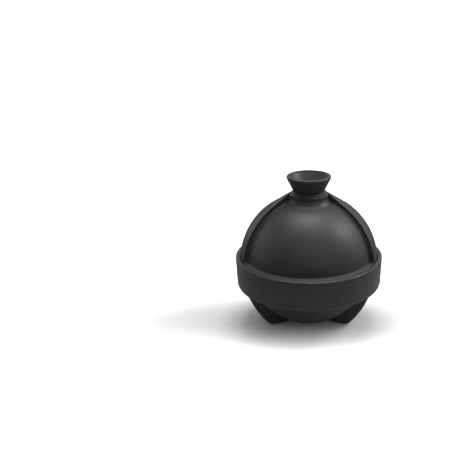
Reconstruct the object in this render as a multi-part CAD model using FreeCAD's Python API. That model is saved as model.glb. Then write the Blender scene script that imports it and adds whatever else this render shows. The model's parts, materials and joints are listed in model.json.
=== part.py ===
import FreeCAD, Part

import math
import os

# Ice ball mold: a silicone bowl with a collar and two wide legs, and a silicone dome with a
# pouring funnel that plugs into the collar. Millimetres, +Z up, origin on the table under the
# middle of the bowl. The ribs and the legs lie along X, and the recessed panels face -Y and +Y.

# The ball of ice
cavity_radius = 31.75

# Bowl
bowl_wall = 3.7
bowl_lift = 2.1                 # air under the bowl, which stands on its legs

# Collar round the bowl
collar_above_parting = 3.85
collar_below_parting = 13.05
collar_wall = 2.35              # at the top
collar_draft = 1.8              # degrees, the collar is narrower at its bottom
collar_top_round = 0.7
collar_bottom_round = 2.0
collar_mouth_round = 0.5

# Plug joint between the halves
skirt_depth = 8.0               # how far the dome's skirt reaches below the parting plane
skirt_draft = 4.8               # degrees, so that the skirt wedges home in the collar
skirt_clearance = 0.3           # on each side of the skirt and under it
skirt_wall = 3.1                # at the parting plane
skirt_edge_round = 0.5

# Dome
panel_wall = 4.25               # thickness of the dome at the recessed panels
rib_rise = 2.4                  # how far the side ribs stand above the panels
rib_half_width = 14.6           # at the ledge
rib_top_half_width = 1.6        # at the crown's rim
panel_corner_round = 1.0        # concave, where a panel meets the ribs
ledge_corner_round = 0.35       # concave, where a panel meets the ledge
ledge_round = 0.6

# Pouring funnel
fill_hole_radius = 4.5
neck_wall = 3.6                 # round the fill hole
funnel_height = 9.1             # from the neck to the top of the lip
funnel_half_angle = 26.6        # degrees from upright, outside
lip_thickness = 1.7             # rounded right over
neck_round = 0.6

# Crown round the neck
crown_land = 2.6                # sloping ring round the neck
crown_fall = 0.6                # from the neck down to the crown's rim
crown_rise = 2.05               # above the ribs' ball at the crown's rim
crown_flare = 10.0              # from the rim to where the ribs start to sweep up
crown_step = 2.0                # from the crown down to the top of a panel
crown_edge_round = 0.8
panel_flare = 3.0               # from the rim to where the panels start to sweep up

# Legs
leg_half_angle = 20.0           # degrees to each side of the X axis
leg_setback = 3.45              # from the collar's lower rim in to the top of the leg
leg_flank_radius = 57.0         # the outer face bulges
leg_edge_round = 1.8
foot_length = 9.2               # along the radius, to where the outer face would meet the table
foot_edge_round = 5.0           # where the outer face turns under the foot
heel_length = 6.1               # slopes from the foot up into the bowl
heel_rise = 0.9                 # the heel meets the bowl this far above its lowest point
weld = 0.6                      # the legs reach this far into the bowl and the collar

# Radii and heights that follow
bowl_radius = cavity_radius + bowl_wall
panel_radius = cavity_radius + panel_wall
rib_radius = panel_radius + rib_rise
neck_radius = fill_hole_radius + neck_wall
crown_radius = neck_radius + crown_land
crown_flare_radius = crown_radius + crown_flare
lip_radius = lip_thickness / 2
parting_z = bowl_lift + bowl_radius
collar_top_z = parting_z + collar_above_parting
collar_bottom_z = parting_z - collar_below_parting
ledge_z = collar_top_z          # the band under the panels is level with the collar
collar_slope = math.tan(math.radians(collar_draft))
skirt_slope = math.tan(math.radians(skirt_draft))


def at(radius, height):
    """A point of a half section, which lies in the XZ plane."""
    return FreeCAD.Vector(radius, 0, height)


def line(start, end):
    return Part.LineSegment(at(*start), at(*end)).toShape()


def ball_arc(ball_radius, start, end):
    """Arc about the ball's centre, from the direction of one point to that of the other."""
    angles = [math.atan2(p[1] - parting_z, p[0]) for p in (start, end)]
    middle = sum(angles) / 2
    through = (ball_radius * math.cos(middle), parting_z + ball_radius * math.sin(middle))
    return Part.Arc(at(*start), at(*through), at(*end)).toShape()


def on_circle(centre, radius, angle):
    """Point at this angle, in radians from level outwards, round a centre of the half section."""
    return (centre[0] + radius * math.cos(angle), centre[1] + radius * math.sin(angle))


def arc_round(centre, radius, first, last):
    ends = [at(*on_circle(centre, radius, angle)) for angle in (first, (first + last) / 2, last)]
    return Part.Arc(*ends).toShape()


def bulged_arc(start, end, bulge):
    """Arc whose middle stands off its chord, to the right of the way from start to end."""
    run, rise = end[0] - start[0], end[1] - start[1]
    length = math.hypot(run, rise)
    through = ((start[0] + end[0]) / 2 + bulge * rise / length,
               (start[1] + end[1]) / 2 - bulge * run / length)
    return Part.Arc(at(*start), at(*through), at(*end)).toShape()


def flare_arc(ball_radius, foot, top):
    """Hollow arc that leaves a concentric ball along its surface and sweeps up to the top."""
    ball_slope = math.asin(foot[0] / ball_radius)
    chord_slope = math.atan2(top[1] - foot[1], foot[0] - top[0])
    hollow = math.dist(foot, top) / 2 * math.tan((chord_slope - ball_slope) / 2)
    return bulged_arc(foot, top, -hollow)


def turned(edges, degrees=360.0):
    """Solid made by turning a closed half section about the Z axis, centred on +X if partial."""
    face = Part.Face(Part.Wire(edges))
    axis = FreeCAD.Vector(0, 0, 1)
    solid = face.revolve(FreeCAD.Vector(0, 0, 0), axis, degrees)
    if degrees < 360.0:
        solid.rotate(FreeCAD.Vector(0, 0, 0), axis, -degrees / 2)
    return solid


def ball_height(ball_radius, radius):
    """Height above the ball's centre at which a concentric ball has this radius."""
    return math.sqrt(ball_radius ** 2 - radius ** 2)


def on_ball(ball_radius, height):
    """Radius from the axis of a concentric ball at this height above the table."""
    return math.sqrt(ball_radius ** 2 - (height - parting_z) ** 2)


# How far from the place it is looked for an edge may lie, to count as found there
edge_tolerance = 0.01


def ring_edges(solid, radius, height):
    """The circular edges about the Z axis at this radius and height."""
    found = []
    for edge in solid.Edges:
        if edge.Degenerated or not isinstance(edge.Curve, Part.Circle):
            continue
        centre = edge.Curve.Center
        off_size = abs(edge.Curve.Radius - radius)
        off_place = centre.distanceToPoint(at(0, height))
        if edge.Curve.Axis.z ** 2 > 0.99 and max(off_size, off_place) < edge_tolerance:
            found.append(edge)
    return found


def middle_of(edge):
    first, last = edge.ParameterRange
    return edge.valueAt((first + last) / 2)


def rounded_rings(solid, rings):
    """Rounds ring edges given as (radius, height, round)."""
    for radius, height, size in rings:
        solid = solid.makeFillet(size, ring_edges(solid, radius, height))
    return solid


# The skirt's outer wall starts on the ribs' ball at the ledge and leans in on its way down.
skirt_ledge_radius = on_ball(rib_radius, ledge_z)


def skirt_outer(height):
    return skirt_ledge_radius - (ledge_z - height) * skirt_slope


def collar_inner(height):
    return skirt_outer(height) + skirt_clearance


def collar_outer(height):
    return collar_inner(collar_top_z) + collar_wall - (collar_top_z - height) * collar_slope


skirt_inner_radius = skirt_outer(parting_z) - skirt_wall
skirt_bottom_z = parting_z - skirt_depth
channel_floor_z = skirt_bottom_z - skirt_clearance
spigot_radius = skirt_inner_radius - skirt_clearance
crown_z = parting_z + ball_height(rib_radius, crown_radius) + crown_rise
neck_z = crown_z + crown_fall
lip_top_z = neck_z + funnel_height


def bowl_with_collar():
    """Bowl, collar and the channel between them that takes the dome's skirt."""
    cavity_low = (0, parting_z - cavity_radius)
    bowl_low = (0, parting_z - bowl_radius)
    bowl_high = (on_ball(bowl_radius, collar_bottom_z), collar_bottom_z)
    collar_low = (collar_outer(collar_bottom_z), collar_bottom_z)
    collar_high = (collar_outer(collar_top_z), collar_top_z)
    mouth = (collar_inner(collar_top_z), collar_top_z)
    channel_out = (collar_inner(channel_floor_z), channel_floor_z)
    channel_in = (spigot_radius, channel_floor_z)
    seat_out = (spigot_radius, parting_z)
    seat_in = (cavity_radius, parting_z)
    solid = turned([
        line(cavity_low, bowl_low),
        ball_arc(bowl_radius, bowl_low, bowl_high),
        line(bowl_high, collar_low),
        line(collar_low, collar_high),
        line(collar_high, mouth),
        line(mouth, channel_out),
        line(channel_out, channel_in),
        line(channel_in, seat_out),
        line(seat_out, seat_in),
        ball_arc(cavity_radius, seat_in, cavity_low),
    ])
    return rounded_rings(solid, [
        (*collar_low, collar_bottom_round),
        (*collar_high, collar_top_round),
        (*mouth, collar_mouth_round),
    ])


def leg():
    """One wide leg on the +X side, with a bulging outer face and a flat foot."""
    top_z = collar_bottom_z + weld
    top_out = (collar_outer(collar_bottom_z) - leg_setback, top_z)
    heel_z = bowl_lift + heel_rise
    heel = (on_ball(bowl_radius, heel_z), heel_z)
    foot_in = (heel[0] + heel_length, 0)
    foot_out = (foot_in[0] + foot_length, 0)
    run, rise = foot_out[0] - top_out[0], foot_out[1] - top_out[1]
    chord = math.hypot(run, rise)
    stand_off = math.sqrt(leg_flank_radius ** 2 - (chord / 2) ** 2)
    flank_centre = ((top_out[0] + foot_out[0]) / 2 + stand_off * rise / chord,
                    (top_out[1] + foot_out[1]) / 2 - stand_off * run / chord)
    reach = leg_flank_radius - foot_edge_round
    drop = flank_centre[1] - foot_edge_round
    round_centre = (flank_centre[0] + math.sqrt(reach ** 2 - drop ** 2), foot_edge_round)
    flank_top = math.atan2(top_out[1] - flank_centre[1], top_out[0] - flank_centre[0])
    flank_low = math.atan2(-drop, round_centre[0] - flank_centre[0])
    flank_end = on_circle(flank_centre, leg_flank_radius, flank_low)
    sole_out = (round_centre[0], 0)
    root_radius = bowl_radius - weld
    root_high = (on_ball(root_radius, collar_bottom_z), collar_bottom_z)
    root_low = (heel[0], parting_z - ball_height(root_radius, heel[0]))
    solid = turned([
        line((root_high[0], top_z), top_out),
        arc_round(flank_centre, leg_flank_radius, flank_top, flank_low),
        arc_round(round_centre, foot_edge_round, flank_low, -math.pi / 2),
        line(sole_out, foot_in),
        line(foot_in, heel),
        line(heel, root_low),
        ball_arc(root_radius, root_low, root_high),
        line(root_high, (root_high[0], top_z)),
    ], 2 * leg_half_angle)
    ball_centre = at(0, parting_z)
    smooth = ring_edges(solid, *flank_end) + ring_edges(solid, *sole_out)
    exposed = []
    for edge in solid.Edges:
        middle = middle_of(edge)
        outside_bowl = middle.distanceToPoint(ball_centre) > bowl_radius + edge_tolerance
        sharp = not any(edge.isSame(other) for other in smooth)
        if outside_bowl and sharp and middle.z < collar_bottom_z:
            exposed.append(edge)
    return solid.makeFillet(leg_edge_round, exposed)


def make_lower_half():
    solid = bowl_with_collar()
    for turn in (0, 180):
        foot = leg()
        foot.rotate(FreeCAD.Vector(0, 0, 0), FreeCAD.Vector(0, 0, 1), turn)
        solid = solid.fuse(foot)
    return solid.removeSplitter()


def dome_with_funnel():
    """Dome at the ribs' height all round, with its skirt, crown, funnel and fill hole."""
    seat_in = (cavity_radius, parting_z)
    shoulder = (skirt_inner_radius, parting_z)
    skirt_in = (skirt_inner_radius, skirt_bottom_z)
    skirt_out = (skirt_outer(skirt_bottom_z), skirt_bottom_z)
    ledge = (skirt_ledge_radius, ledge_z)
    flare = (crown_flare_radius, parting_z + ball_height(rib_radius, crown_flare_radius))
    crown = (crown_radius, crown_z)
    neck = (neck_radius, neck_z)
    lean = math.radians(funnel_half_angle)
    lip_z = lip_top_z - lip_radius
    lip_reach = neck_radius + (lip_z - neck_z) * math.tan(lean)
    lip_centre = (lip_reach - lip_radius / math.cos(lean), lip_z)
    lip_out = on_circle(lip_centre, lip_radius, -lean)
    lip_in = on_circle(lip_centre, lip_radius, math.pi)
    hole_top = (fill_hole_radius, crown_z)
    hole_low = (fill_hole_radius, parting_z + ball_height(cavity_radius, fill_hole_radius))
    solid = turned([
        line(seat_in, shoulder),
        line(shoulder, skirt_in),
        line(skirt_in, skirt_out),
        line(skirt_out, ledge),
        ball_arc(rib_radius, ledge, flare),
        flare_arc(rib_radius, flare, crown),
        line(crown, neck),
        line(neck, lip_out),
        arc_round(lip_centre, lip_radius, -lean, math.pi),
        line(lip_in, hole_top),
        line(hole_top, hole_low),
        ball_arc(cavity_radius, hole_low, seat_in),
    ])
    return rounded_rings(solid, [
        (*skirt_out, skirt_edge_round),
        (*neck, neck_round),
    ])


def panel_sweep():
    """Ring of silicone that sweeps from the panels' ball up to the crown."""
    top = (crown_radius, crown_z - crown_step)
    foot_radius = crown_radius + panel_flare
    foot = (foot_radius, parting_z + ball_height(panel_radius, foot_radius))
    under = (crown_radius, parting_z + ball_height(panel_radius, crown_radius))
    return turned([
        flare_arc(panel_radius, foot, top),
        line(top, under),
        ball_arc(panel_radius, under, foot),
    ])


def between_ribs():
    """Block on the +Y side with the flat sides of both ribs as its walls, higher than the dome."""
    far = 2 * rib_radius
    ledge_x = math.sqrt(skirt_ledge_radius ** 2 - rib_half_width ** 2)
    side_slope = (rib_half_width - rib_top_half_width) / (ledge_x - crown_radius)
    tip_x = crown_radius - rib_top_half_width / side_slope
    far_y = (far - tip_x) * side_slope
    right = [(tip_x, 0), (far, far_y), (far, far)]
    left = [(-x, y) for x, y in reversed(right)]
    corners = [FreeCAD.Vector(x, y, 0) for x, y in right + left + right[:1]]
    face = Part.Face(Part.makePolygon(corners))
    return face.extrude(FreeCAD.Vector(0, 0, lip_top_z))


def panel_recess():
    """What is taken off the dome for the panel on the +Y side, with rounded inner edges."""
    beyond = rib_radius + rib_rise
    roof_z = neck_z + neck_round
    fall = math.atan2(crown_fall, crown_land)
    drop = crown_edge_round * (1 - math.sin(fall)) / math.cos(fall)
    crown_centre = (crown_radius - crown_edge_round, crown_z - drop)
    crown_top = on_circle(crown_centre, crown_edge_round, math.pi / 2 - fall)
    crown_side = (crown_radius, crown_centre[1])
    crown_foot = (crown_radius, parting_z + ball_height(panel_radius, crown_radius))
    draft = math.radians(skirt_draft)
    ledge_centre_z = ledge_z - ledge_round
    ledge_centre = (skirt_outer(ledge_centre_z) - ledge_round / math.cos(draft), ledge_centre_z)
    ledge_in = (on_ball(panel_radius, ledge_z), ledge_z)
    ledge_out = (ledge_centre[0], ledge_z)
    ledge_side = on_circle(ledge_centre, ledge_round, -draft)
    ring = turned([
        line((crown_top[0], roof_z), crown_top),
        arc_round(crown_centre, crown_edge_round, math.pi / 2 - fall, 0),
        line(crown_side, crown_foot),
        ball_arc(panel_radius, crown_foot, ledge_in),
        line(ledge_in, ledge_out),
        arc_round(ledge_centre, ledge_round, math.pi / 2, -draft),
        line(ledge_side, (beyond, ledge_side[1])),
        line((beyond, ledge_side[1]), (beyond, roof_z)),
        line((beyond, roof_z), (crown_top[0], roof_z)),
    ])
    solid = ring.common(between_ribs())
    ball_centre = at(0, parting_z)
    beside_ribs = []
    for edge in solid.Edges:
        middle = middle_of(edge)
        on_panel = abs(middle.distanceToPoint(ball_centre) - panel_radius) < edge_tolerance
        if on_panel and isinstance(edge.Curve, Part.Circle) and edge.Curve.Axis.z ** 2 < 0.01:
            beside_ribs.append(edge)
    solid = solid.makeFillet(panel_corner_round, beside_ribs)
    return solid.makeFillet(ledge_corner_round, ring_edges(solid, *ledge_in))


def make_upper_half():
    solid = dome_with_funnel()
    recess = panel_recess().cut(panel_sweep())
    for turn in (0, 180):
        cutter = recess.copy()
        cutter.rotate(FreeCAD.Vector(0, 0, 0), FreeCAD.Vector(0, 0, 1), turn)
        solid = solid.cut(cutter)
    return solid


os.makedirs("parts", exist_ok=True)
for name, make in (("lower_half", make_lower_half), ("upper_half", make_upper_half)):
    shape = make()
    box = shape.optimalBoundingBox()
    print(name, "valid", shape.isValid(), "solids", len(shape.Solids), "volume", round(shape.Volume, 1),
          "box", [round(v, 2) for v in (box.XMin, box.YMin, box.ZMin, box.XMax, box.YMax, box.ZMax)])
    shape.exportStep("parts/" + name + ".step")
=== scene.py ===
# %% [markdown]
# # A silicone mold for one large ball of ice
#
# The real object is two thick pieces of charcoal silicone. The lower half is a bowl that stands
# on two wide legs and carries a collar round its equator. The upper half is a dome with two
# raised ribs, two recessed panels and a funnel, and its skirt plugs down into the collar.
#
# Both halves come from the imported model, at their real size. This lesson gives them their
# finish, a camera and soft studio light.

# %% Load the two halves
import json
import math

import bpy
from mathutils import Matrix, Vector

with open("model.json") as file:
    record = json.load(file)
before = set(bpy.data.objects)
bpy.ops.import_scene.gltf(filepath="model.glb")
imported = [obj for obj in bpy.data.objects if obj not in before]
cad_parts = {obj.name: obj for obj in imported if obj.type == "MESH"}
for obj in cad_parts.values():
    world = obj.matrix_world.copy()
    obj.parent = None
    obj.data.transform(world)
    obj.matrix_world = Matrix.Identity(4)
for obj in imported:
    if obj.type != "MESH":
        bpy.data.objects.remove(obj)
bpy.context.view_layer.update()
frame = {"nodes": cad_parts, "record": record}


print("halves:", sorted(frame["nodes"]))

# %% [markdown]
# ## The middle of the ice ball
#
# Camera, lights and finishes are all placed from the middle of the ball cavity. The record of
# the model gives it: the opening inside the bowl ends at the plane where the halves part, and
# the ball's middle lies on that plane. Reading it keeps this script right if the legs change.

# %% Find the parting plane
openings = {o["name"]: o["box_m"] for o in frame["record"]["physics"]["openings"]}
parting_z = openings["bowl_inside"][1][2]
ball_centre = Vector((0.0, 0.0, parting_z))
print("the halves part at z =", round(parting_z * 1000, 2), "mm")

# %% [markdown]
# ## A helper for shader nodes
#
# A material is a small graph of nodes. Building one by hand takes a line to make each node and
# a line for each wire. This helper makes a node and sets its inputs in one call: an input given
# as a socket is wired up, and any other input is set to the value.

# %% Make a node and fill its inputs
def add_node(tree, kind, inputs=None, **settings):
    node = tree.nodes.new(kind)
    for name, value in settings.items():
        setattr(node, name, value)
    for key, value in (inputs or {}).items():
        if isinstance(value, bpy.types.NodeSocket):
            tree.links.new(value, node.inputs[key])
        else:
            node.inputs[key].default_value = value
    return node


print("helper ready:", add_node.__name__)

# %% [markdown]
# ## Small steps that come back
#
# Two steps turn up in nearly every effect. One carries a value from one range to another, the
# other mixes two colours by a mask. A Mix node keeps sockets for every kind of value, several
# with the same name, so its colours are reached by number: inputs 6 and 7, and output 2.

# %% Carry a value over, mix two colours
MIX_COLOR_A, MIX_COLOR_B, MIX_COLOR_RESULT = 6, 7, 2


def remap(tree, value, low, high, to_low, to_high):
    """Value carried from one range to another and held inside it."""
    node = add_node(tree, "ShaderNodeMapRange", {
        "Value": value, "From Min": low, "From Max": high, "To Min": to_low, "To Max": to_high},
        clamp=True)
    return node.outputs["Result"]


def mix_colors(tree, mask, color_a, color_b):
    """The first colour where the mask is zero, the second where it is one."""
    node = add_node(tree, "ShaderNodeMix", data_type="RGBA", inputs={
        "Factor": mask, MIX_COLOR_A: color_a, MIX_COLOR_B: color_b})
    return node.outputs[MIX_COLOR_RESULT]


print("helpers ready:", remap.__name__, "and", mix_colors.__name__)

# %% [markdown]
# ## Groups
#
# An effect that is used more than once belongs in a group: a graph of its own, with named
# sockets on both sides, that a material places like a single node. Each material can then give
# it other values. The sockets are made on the group's interface, inputs with a starting value.

# %% Start a group
def new_group(name, inputs, outputs):
    """A shader node group with named sockets. Returns the tree, its input and output nodes."""
    tree = bpy.data.node_groups.new(name, "ShaderNodeTree")
    for label, kind, value in inputs:
        socket = tree.interface.new_socket(label, in_out="INPUT", socket_type="NodeSocket" + kind)
        if value is not None:
            socket.default_value = value
    for label, kind in outputs:
        tree.interface.new_socket(label, in_out="OUTPUT", socket_type="NodeSocket" + kind)
    return tree, tree.nodes.new("NodeGroupInput"), tree.nodes.new("NodeGroupOutput")


print("helper ready:", new_group.__name__)

# %% [markdown]
# ## The skin of moulded silicone
#
# Silicone takes the surface of the steel tool it cures in. A blasted tool leaves a fine, even
# grain, which breaks the shine into a soft satin. A bump map is the right way to make it,
# because the grain is a few hundredths of a millimetre deep and never shows in the outline.
# Two noises of different size are added, so that the grain doesn't look like one pattern.

# %% Group: moulded grain
SLOW_GRAIN_SCALE = 0.2
SLOW_GRAIN_SHARE = 0.45


def make_moulded_grain():
    tree, given, result = new_group(
        "moulded_grain",
        [("Position", "Vector", None), ("Grains per metre", "Float", 2600.0)],
        [("Height", "Float")])
    fine = add_node(tree, "ShaderNodeTexNoise", {
        "Vector": given.outputs["Position"], "Scale": given.outputs["Grains per metre"],
        "Detail": 2.0, "Roughness": 0.55})
    slow_scale = add_node(tree, "ShaderNodeMath", operation="MULTIPLY",
                          inputs={0: given.outputs["Grains per metre"], 1: SLOW_GRAIN_SCALE})
    slow = add_node(tree, "ShaderNodeTexNoise", {
        "Vector": given.outputs["Position"], "Scale": slow_scale.outputs[0], "Detail": 3.0})
    total = add_node(tree, "ShaderNodeMath", operation="MULTIPLY_ADD",
                     inputs={0: slow.outputs["Fac"], 1: SLOW_GRAIN_SHARE, 2: fine.outputs["Fac"]})
    tree.links.new(total.outputs[0], result.inputs["Height"])
    return tree


moulded_grain = make_moulded_grain()
print("group:", moulded_grain.name, "with", len(moulded_grain.nodes), "nodes")

# %% [markdown]
# ## Handling bloom
#
# Silicone is slightly tacky. Fingers and the air leave a bloom on it: broad, faint clouds where
# the surface is a little duller and greyer. One soft noise drives both, so that the colour and
# the roughness change in the same places, as they do on the real thing.

# %% Group: handling bloom
CLOUD_RANGE = (0.35, 0.70)


def make_handling_bloom():
    tree, given, result = new_group(
        "handling_bloom",
        [("Position", "Vector", None), ("Clouds per metre", "Float", 38.0),
         ("Clean Color", "Color", (0.02, 0.02, 0.02, 1.0)),
         ("Bloom Color", "Color", (0.03, 0.03, 0.03, 1.0)),
         ("Clean Roughness", "Float", 0.40), ("Bloom Roughness", "Float", 0.50)],
        [("Color", "Color"), ("Roughness", "Float")])
    clouds = add_node(tree, "ShaderNodeTexNoise", {
        "Vector": given.outputs["Position"], "Scale": given.outputs["Clouds per metre"],
        "Detail": 4.0, "Roughness": 0.6, "Distortion": 0.4})
    mask = remap(tree, clouds.outputs["Fac"], *CLOUD_RANGE, 0.0, 1.0)
    color = mix_colors(tree, mask, given.outputs["Clean Color"], given.outputs["Bloom Color"])
    roughness = remap(tree, mask, 0.0, 1.0, given.outputs["Clean Roughness"],
                      given.outputs["Bloom Roughness"])
    tree.links.new(color, result.inputs["Color"])
    tree.links.new(roughness, result.inputs["Roughness"])
    return tree


handling_bloom = make_handling_bloom()
print("group:", handling_bloom.name, "with", len(handling_bloom.nodes), "nodes")

# %% [markdown]
# ## The polished cavity
#
# The ball of ice copies the inside of the mold, so that part of the steel tool is polished and
# the rest is only blasted. The inside can't be picked out by hand, because it is the same mesh.
# It can be picked out by distance: every point of the cavity lies one ball radius from the
# ball's middle, and no point of the outside comes that near. The group turns this distance
# into a mask that is one in the cavity and fades to zero just outside it.

# %% Group: cavity mask
CAVITY_RADIUS = 0.03175
POLISH_FADE = 0.0008


def make_cavity_mask():
    tree, given, result = new_group(
        "cavity_mask",
        [("Position", "Vector", None), ("Middle", "Vector", (0.0, 0.0, 0.0)),
         ("Radius", "Float", 0.03), ("Fade", "Float", 0.001)],
        [("Mask", "Float")])
    distance = add_node(tree, "ShaderNodeVectorMath", operation="DISTANCE",
                        inputs={0: given.outputs["Position"], 1: given.outputs["Middle"]})
    outer = add_node(tree, "ShaderNodeMath", operation="ADD",
                     inputs={0: given.outputs["Radius"], 1: given.outputs["Fade"]})
    mask = remap(tree, distance.outputs["Value"], given.outputs["Radius"], outer.outputs[0],
                 1.0, 0.0)
    tree.links.new(mask, result.inputs["Mask"])
    return tree


cavity_mask = make_cavity_mask()
print("group:", cavity_mask.name, "with", len(cavity_mask.nodes), "nodes")

# %% [markdown]
# ## Dust
#
# Silicone holds static, and a few specks of dust always sit on it. Each speck is the middle of
# one Voronoi cell. Most cells get none: the cell's own random colour decides which do. That
# keeps the specks few and uneven, where a plain grid of dots would look printed.

# %% Group: dust specks
def make_dust_specks():
    tree, given, result = new_group(
        "dust_specks",
        [("Position", "Vector", None), ("Cells per metre", "Float", 420.0),
         ("Speck size", "Float", 0.07), ("Share of cells", "Float", 0.12)],
        [("Mask", "Float")])
    cells = add_node(tree, "ShaderNodeTexVoronoi", {
        "Vector": given.outputs["Position"], "Scale": given.outputs["Cells per metre"]})
    speck = remap(tree, cells.outputs["Distance"], 0.0, given.outputs["Speck size"], 1.0, 0.0)
    lot = add_node(tree, "ShaderNodeSeparateColor", {"Color": cells.outputs["Color"]})
    drawn = add_node(tree, "ShaderNodeMath", operation="LESS_THAN",
                     inputs={0: lot.outputs["Red"], 1: given.outputs["Share of cells"]})
    mask = add_node(tree, "ShaderNodeMath", operation="MULTIPLY",
                    inputs={0: speck, 1: drawn.outputs[0]})
    tree.links.new(mask.outputs[0], result.inputs["Mask"])
    return tree


dust_specks = make_dust_specks()
print("group:", dust_specks.name, "with", len(dust_specks.nodes), "nodes")

# %% [markdown]
# ## Edges
#
# No edge of moulded silicone is sharp. The large rounds are in the model, and the last small
# one is made here: a Bevel node bends the shading across an edge, as a round of that size
# would. Where the bent normal and the true normal differ there is an edge. The group measures
# that difference: the dot product of the two is one where they agree, and it falls towards an
# edge. Edges rub a little paler in use, and the paler colour laid on them also paints the
# highlight that light draws along rounded edges and rims.

# %% Group: edge mask
EDGE_AGREEMENT = (0.70, 0.995)


def make_edge_mask():
    tree, given, result = new_group(
        "edge_mask",
        [("Rounded Normal", "Vector", None), ("True Normal", "Vector", None)],
        [("Mask", "Float")])
    agree = add_node(tree, "ShaderNodeVectorMath", operation="DOT_PRODUCT",
                     inputs={0: given.outputs["Rounded Normal"], 1: given.outputs["True Normal"]})
    mask = remap(tree, agree.outputs["Value"], *EDGE_AGREEMENT, 1.0, 0.0)
    tree.links.new(mask, result.inputs["Mask"])
    return tree


edge_mask = make_edge_mask()
print("group:", edge_mask.name, "with", len(edge_mask.nodes), "nodes")

# %% [markdown]
# ## Laying one finish over another
#
# The material starts with the bloomed silicone and lays rubbed edges with their painted
# highlight, the polished cavity and dust over it one after the other. Each layer changes the
# colour and the roughness by its own mask, and this group does one such step.

# %% Group: finish layer
def make_finish_layer():
    tree, given, result = new_group(
        "finish_layer",
        [("Color", "Color", None), ("Roughness", "Float", 0.5), ("Mask", "Float", 0.0),
         ("Layer Color", "Color", (0.1, 0.1, 0.1, 1.0)), ("Layer Roughness", "Float", 0.5)],
        [("Color", "Color"), ("Roughness", "Float")])
    color = mix_colors(tree, given.outputs["Mask"], given.outputs["Color"],
                       given.outputs["Layer Color"])
    roughness = remap(tree, given.outputs["Mask"], 0.0, 1.0, given.outputs["Roughness"],
                      given.outputs["Layer Roughness"])
    tree.links.new(color, result.inputs["Color"])
    tree.links.new(roughness, result.inputs["Roughness"])
    return tree


def lay_over(tree, below, mask, color, roughness):
    """One more layer over a group that puts out a colour and a roughness."""
    return add_node(tree, "ShaderNodeGroup", node_tree=finish_layer, inputs={
        "Color": below.outputs["Color"], "Roughness": below.outputs["Roughness"],
        "Mask": mask, "Layer Color": color, "Layer Roughness": roughness})


finish_layer = make_finish_layer()
print("group:", finish_layer.name, "with", len(finish_layer.nodes), "nodes")

# %% [markdown]
# ## The colours and roughnesses of charcoal silicone
#
# Charcoal silicone is a very dark grey, never black: pigment alone still sends back a
# twentieth of the light. Rubbed edges are paler, and their colour also paints the highlight
# that light draws along edges and rims. Dust is paler too, and the polished cavity is a shade
# darker, because it scatters less. Roughness goes the same way. The satin of the outside lies
# near the middle of the scale, the polish well below it, and dust doesn't shine at all.

# %% Finish values
CHARCOAL = (0.050, 0.050, 0.051, 1.0)
CHARCOAL_BLOOM = (0.060, 0.060, 0.061, 1.0)
# Paler edge colour: edge wear, and a painted highlight along rounded edges and rims.
CHARCOAL_RUBBED_AND_HIGHLIT = (0.105, 0.105, 0.106, 1.0)
CHARCOAL_POLISHED = (0.044, 0.044, 0.045, 1.0)
DUST = (0.16, 0.16, 0.155, 1.0)

SATIN_ROUGHNESS = 0.42
BLOOM_ROUGHNESS = 0.50
RUBBED_ROUGHNESS = 0.46
POLISHED_ROUGHNESS = 0.24
DUST_ROUGHNESS = 0.9

EDGE_ROUND = 0.0005
BEVEL_SAMPLES = 8
GRAIN_DEPTH = 0.00002
GRAIN_STRENGTH = 0.25
NO_GRAIN = 0.5
SILICONE_IOR = 1.5
print("small edges look rounded by", EDGE_ROUND * 1000, "mm")

# %% [markdown]
# ## The material of both halves
#
# Each half is its own pour of the same silicone, so one function makes both materials, and each
# gets its own place in the noise. The Principled shader stays here in the material, with plain
# numbers for what is the same all over. The groups feed only what changes over the surface.

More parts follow.
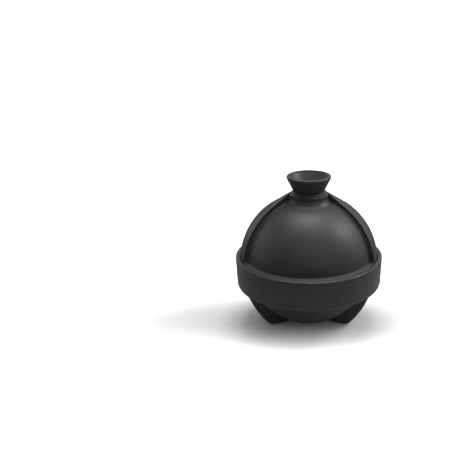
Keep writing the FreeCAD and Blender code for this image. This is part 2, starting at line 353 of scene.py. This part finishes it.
# %% Charcoal silicone
def make_silicone(name, batch):
    material = bpy.data.materials.new(name)
    material.use_nodes = True
    tree = material.node_tree
    tree.nodes.clear()
    place = add_node(tree, "ShaderNodeTexCoord")
    shifted = add_node(tree, "ShaderNodeVectorMath", operation="ADD",
                       inputs={0: place.outputs["Object"], 1: batch})
    rounded = add_node(tree, "ShaderNodeBevel", {"Radius": EDGE_ROUND}, samples=BEVEL_SAMPLES)
    surface = add_node(tree, "ShaderNodeNewGeometry")
    bloom = add_node(tree, "ShaderNodeGroup", node_tree=handling_bloom, inputs={
        "Position": shifted.outputs[0], "Clean Color": CHARCOAL, "Bloom Color": CHARCOAL_BLOOM,
        "Clean Roughness": SATIN_ROUGHNESS, "Bloom Roughness": BLOOM_ROUGHNESS})
    edges = add_node(tree, "ShaderNodeGroup", node_tree=edge_mask, inputs={
        "Rounded Normal": rounded.outputs["Normal"], "True Normal": surface.outputs["Normal"]})
    cavity = add_node(tree, "ShaderNodeGroup", node_tree=cavity_mask, inputs={
        "Position": place.outputs["Object"], "Middle": ball_centre, "Radius": CAVITY_RADIUS,
        "Fade": POLISH_FADE})
    specks = add_node(tree, "ShaderNodeGroup", node_tree=dust_specks,
                      inputs={"Position": shifted.outputs[0]})
    # The paler edge layer paints a highlight along edges and rims, on top of edge wear.
    rubbed_edges_and_highlight = lay_over(tree, bloom, edges.outputs["Mask"], CHARCOAL_RUBBED_AND_HIGHLIT, RUBBED_ROUGHNESS)
    polished = lay_over(tree, rubbed_edges_and_highlight, cavity.outputs["Mask"], CHARCOAL_POLISHED,
                        POLISHED_ROUGHNESS)
    dusty = lay_over(tree, polished, specks.outputs["Mask"], DUST, DUST_ROUGHNESS)
    grain = add_node(tree, "ShaderNodeGroup", node_tree=moulded_grain,
                     inputs={"Position": shifted.outputs[0]})
    height = remap(tree, cavity.outputs["Mask"], 0.0, 1.0, grain.outputs["Height"], NO_GRAIN)
    bump = add_node(tree, "ShaderNodeBump", {
        "Height": height, "Strength": GRAIN_STRENGTH, "Distance": GRAIN_DEPTH,
        "Normal": rounded.outputs["Normal"]})
    silicone = add_node(tree, "ShaderNodeBsdfPrincipled", {
        "Base Color": dusty.outputs["Color"], "Roughness": dusty.outputs["Roughness"],
        "Normal": bump.outputs["Normal"], "IOR": SILICONE_IOR})
    out = add_node(tree, "ShaderNodeOutputMaterial")
    tree.links.new(silicone.outputs["BSDF"], out.inputs["Surface"])
    return material


BATCHES = {"lower_half": (0.0, 0.0, 0.0), "upper_half": (0.31, 0.17, 0.08)}
for node_name, batch in BATCHES.items():
    half = frame["nodes"][node_name]
    half.data.materials.clear()
    half.data.materials.append(make_silicone("silicone_" + node_name, batch))
    print(node_name, "has", len(half.data.polygons), "faces and", half.data.materials[0].name)

# %% [markdown]
# ## The white of the table
#
# The mold stands on a white table that runs into a white background. A white table can be made
# white by more light, but that light would wash out the dark silicone as well. So the lamps
# stay at a plain level, and the table gets a glow of its own that only the camera sees. The
# glow is nothing under the mold and grows away from it, so the soft shadow keeps its depth at
# the legs and runs out into pure white. It is laid out on the table itself, in an ellipse that
# is wider than deep, because the mold's two legs stand left and right.
#
# What the silicone gets back from the table is set apart from what the camera sees. Its
# underside shows the table close by, as on a small white card, and no glare from further off.
# Metal or glass would have to mirror the white as well. On satin silicone that would lie as a
# grey veil over the whole ball, which a dark ball under studio lamps doesn't have.

# %% White for the camera
TABLE_SEEN = (0.92, 0.92, 0.92, 1.0)
CARD_LEVEL = 0.48
CARD_REACH = (0.06, 0.24)
GLOW_MIDDLE = (-0.008, 0.0, 0.0)
GLOW_REACH = (0.140, 0.040, 1.0)
GLOW_CURVE = 2.6


def table_glow(tree, place):
    """Emission that grows from nothing at the mold to white at the edge of its reach."""
    from_middle = add_node(tree, "ShaderNodeVectorMath", operation="SUBTRACT",
                           inputs={0: place.outputs["Object"], 1: GLOW_MIDDLE})
    in_reach = add_node(tree, "ShaderNodeVectorMath", operation="DIVIDE",
                        inputs={0: from_middle.outputs[0], 1: GLOW_REACH})
    distance = add_node(tree, "ShaderNodeVectorMath", operation="LENGTH",
                        inputs={0: in_reach.outputs[0]})
    held = remap(tree, distance.outputs["Value"], 0.0, 1.0, 0.0, 1.0)
    strength = add_node(tree, "ShaderNodeMath", operation="POWER", inputs={0: held, 1: GLOW_CURVE})
    return add_node(tree, "ShaderNodeEmission", {"Strength": strength.outputs[0]})


def table_card(tree, place):
    """Diffuse grey that fades away from the mold."""
    away = add_node(tree, "ShaderNodeVectorMath", operation="LENGTH",
                    inputs={0: place.outputs["Object"]})
    level = remap(tree, away.outputs["Value"], *CARD_REACH, CARD_LEVEL, 0.0)
    return add_node(tree, "ShaderNodeBsdfDiffuse", {"Color": level})


def make_table_material():
    material = bpy.data.materials.new("white_table")
    material.use_nodes = True
    tree = material.node_tree
    tree.nodes.clear()
    path = add_node(tree, "ShaderNodeLightPath")
    place = add_node(tree, "ShaderNodeTexCoord")
    painted = add_node(tree, "ShaderNodeBsdfDiffuse", {"Color": TABLE_SEEN})
    white = add_node(tree, "ShaderNodeAddShader",
                     {0: painted.outputs[0], 1: table_glow(tree, place).outputs[0]})
    mix = add_node(tree, "ShaderNodeMixShader", {
        0: path.outputs["Is Camera Ray"], 1: table_card(tree, place).outputs[0],
        2: white.outputs[0]})
    out = add_node(tree, "ShaderNodeOutputMaterial")
    tree.links.new(mix.outputs[0], out.inputs["Surface"])
    return material


white_table = make_table_material()
print("material:", white_table.name, "with", len(white_table.node_tree.nodes), "nodes")

# %% [markdown]
# ## The table
#
# The table is one flat face at the height of the soles. It is metres wide, so that its far edge
# runs into the background.

# %% Table top
TABLE_HALF = 3.0
CORNERS = [(-1, -1), (1, -1), (1, 1), (-1, 1)]

table_mesh = bpy.data.meshes.new("table")
table_mesh.from_pydata([(x * TABLE_HALF, y * TABLE_HALF, 0.0) for x, y in CORNERS], [],
                       [(0, 1, 2, 3)])
table = bpy.data.objects.new("table", table_mesh)
bpy.context.scene.collection.objects.link(table)
table.data.materials.append(white_table)
print("table:", TABLE_HALF * 2, "m square")

# %% [markdown]
# ## The room
#
# The world is the room around the table. The camera sees it white. The silicone sees a dim grey
# that grows towards the ceiling, as in a studio with pale ceiling panels: it fills the shadows
# from above and leaves the undersides dark.

# %% World
CEILING_LEVEL = 0.24
WHITE_LEVEL = 1.0

world = bpy.data.worlds.new("studio_room")
bpy.context.scene.world = world
world.use_nodes = True
room_tree = world.node_tree
room_tree.nodes.clear()
way = add_node(room_tree, "ShaderNodeTexCoord")
parts = add_node(room_tree, "ShaderNodeSeparateXYZ", {"Vector": way.outputs["Generated"]})
dim = remap(room_tree, parts.outputs["Z"], 0.0, 1.0, 0.0, CEILING_LEVEL)
path = add_node(room_tree, "ShaderNodeLightPath")
level = remap(room_tree, path.outputs["Is Camera Ray"], 0.0, 1.0, dim, WHITE_LEVEL)
room = add_node(room_tree, "ShaderNodeBackground", {
    "Color": (1.0, 1.0, 1.0, 1.0), "Strength": level})
world_out = add_node(room_tree, "ShaderNodeOutputWorld")
room_tree.links.new(room.outputs[0], world_out.inputs["Surface"])
print("ceiling level", CEILING_LEVEL)

# %% [markdown]
# ## The camera
#
# The photograph looks down on the mold by about 22 degrees, from near enough that the collar's
# front edge bulges towards the viewer. The mold stands right of the middle of the picture. The
# camera looks straight at the ball's middle, and the lens shift moves the picture, so that
# upright edges stay as upright as they are in the photograph.
#
# The lens is given by its length in pixels of the picture, which is what a measured picture
# yields. Blender wants millimetres, so it is turned into the same share of the sensor's width.

# %% Camera
PICTURE_PX = 450
FOCAL_PX = 652.5
BALL_AT_PX = (308.85, 259.5)
CAMERA_DISTANCE = 0.367
CAMERA_DOWN = math.radians(22.2)
SENSOR_MM = 36.0
SEEN_FROM, SEEN_TO = 0.01, 20.0

camera_data = bpy.data.cameras.new("camera")
camera = bpy.data.objects.new("camera", camera_data)
bpy.context.scene.collection.objects.link(camera)
bpy.context.scene.camera = camera
camera_data.sensor_width = SENSOR_MM
camera_data.lens = SENSOR_MM * FOCAL_PX / PICTURE_PX
camera_data.shift_x = (PICTURE_PX / 2 - BALL_AT_PX[0]) / PICTURE_PX
camera_data.shift_y = (BALL_AT_PX[1] - PICTURE_PX / 2) / PICTURE_PX
camera_data.clip_start, camera_data.clip_end = SEEN_FROM, SEEN_TO
to_camera = Vector((0.0, -math.cos(CAMERA_DOWN), math.sin(CAMERA_DOWN)))
camera.location = ball_centre + to_camera * CAMERA_DISTANCE
camera.rotation_euler = (-to_camera).to_track_quat("-Z", "Y").to_euler()
print("lens", round(camera_data.lens, 1), "mm, shift", round(camera_data.shift_x, 3),
      round(camera_data.shift_y, 3))

# %% [markdown]
# ## A lamp
#
# A studio lights a piece like this with soft boxes, which are area lamps here: the larger one
# is, the softer its shadow and its highlight. Each lamp is given by the way it lies from the
# ball, so that moving one is a matter of two angles. Turn is measured from the camera's side,
# positive to the right. All lamps stand at one distance, so their watts can be compared.

# %% A lamp aimed at the ball
LAMP_DISTANCE = 0.60


def add_lamp(name, turn, height, width, depth, watts):
    """Area lamp aimed at the ball, at this turn and height in degrees."""
    data = bpy.data.lights.new(name, "AREA")
    data.shape = "RECTANGLE"
    data.size = width
    data.size_y = depth
    data.energy = watts
    lamp = bpy.data.objects.new(name, data)
    bpy.context.scene.collection.objects.link(lamp)
    a, e = math.radians(turn), math.radians(height)
    way = Vector((math.sin(a) * math.cos(e), -math.cos(a) * math.cos(e), math.sin(e)))
    lamp.location = ball_centre + way * LAMP_DISTANCE
    lamp.rotation_euler = (-way).to_track_quat("-Z", "Y").to_euler()
    print("lamp", name, "at turn", turn, "height", height, "with", watts, "W")


print("helper ready:", add_lamp.__name__)

# %% [markdown]
# ## The lamps
#
# A soft highlight on a satin ball is a picture of a large lamp. The photograph shows one high on
# the panel, from a big lamp overhead, and one to its right, from a lamp high on that side. The
# two give most of the light.
#
# The rest are weak panels. A dark ball on white gets its outline from light that comes from
# the sides and from behind and grazes its edge, so low panels stand there and draw the collar,
# the ribs and the rim of the funnel. A wide panel in front opens up the shadow on the collar.

# %% Place the lamps
LAMPS = [
    # name, turn, height, width, depth, watts
    ("overhead", 165.0, 85.0, 0.30, 0.30, 1.33),
    ("key_right", 100.0, 41.5, 0.18, 0.20, 1.28),
    ("high_right", 90.0, 72.0, 0.34, 0.34, 0.25),
    ("high_left", -90.0, 72.0, 0.34, 0.34, 0.46),
    ("edge_left", -130.0, 12.0, 0.34, 0.34, 0.28),
    ("edge_right", 130.0, 12.0, 0.34, 0.34, 0.20),
    ("low_right", 94.0, 14.0, 0.34, 0.34, 0.26),
    ("low_left", -94.0, 14.0, 0.34, 0.34, 0.22),
    ("front", 14.0, 26.0, 0.80, 0.40, 0.34),
    ("back_low", 180.0, 22.0, 0.60, 0.16, 0.34),
    ("back_high", 180.0, 66.0, 0.34, 0.20, 0.15),
]
for lamp in LAMPS:
    add_lamp(*lamp)

# %% [markdown]
# ## Colour management
#
# The Standard view shows a colour as it is written, so that white stays white.

# %% View
bpy.context.scene.view_settings.view_transform = "Standard"
print("view:", bpy.context.scene.view_settings.view_transform)
